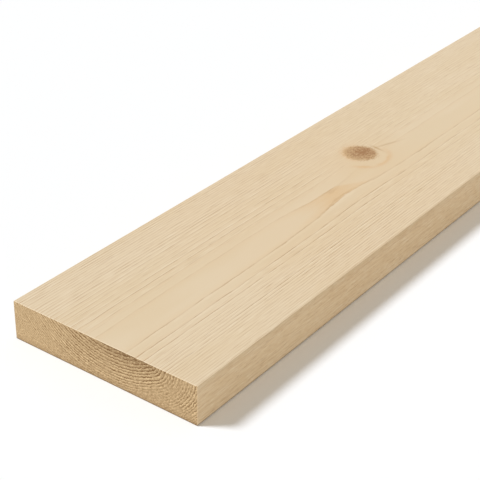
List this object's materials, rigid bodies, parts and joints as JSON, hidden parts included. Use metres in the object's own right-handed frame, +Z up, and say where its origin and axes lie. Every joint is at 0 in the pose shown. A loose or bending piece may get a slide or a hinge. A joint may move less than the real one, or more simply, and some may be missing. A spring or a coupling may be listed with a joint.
{
  "type": "timber plank",
  "caption": "Planed softwood plank with lightly rounded long edges and square sawn ends, lying flat, for boarding, shelving and framing.",
  "frame": {"origin": "middle of the underside, on the floor", "axes": "+X along the length and the grain, +Y across the wide face, +Z up through the thickness"},
  "size_m": [1.8, 0.145, 0.028],
  "materials": {
    "planed_softwood": "matte"
  },
  "bodies": {
    "root": {"plank": "planed_softwood"}
  },
  "joints": []
}
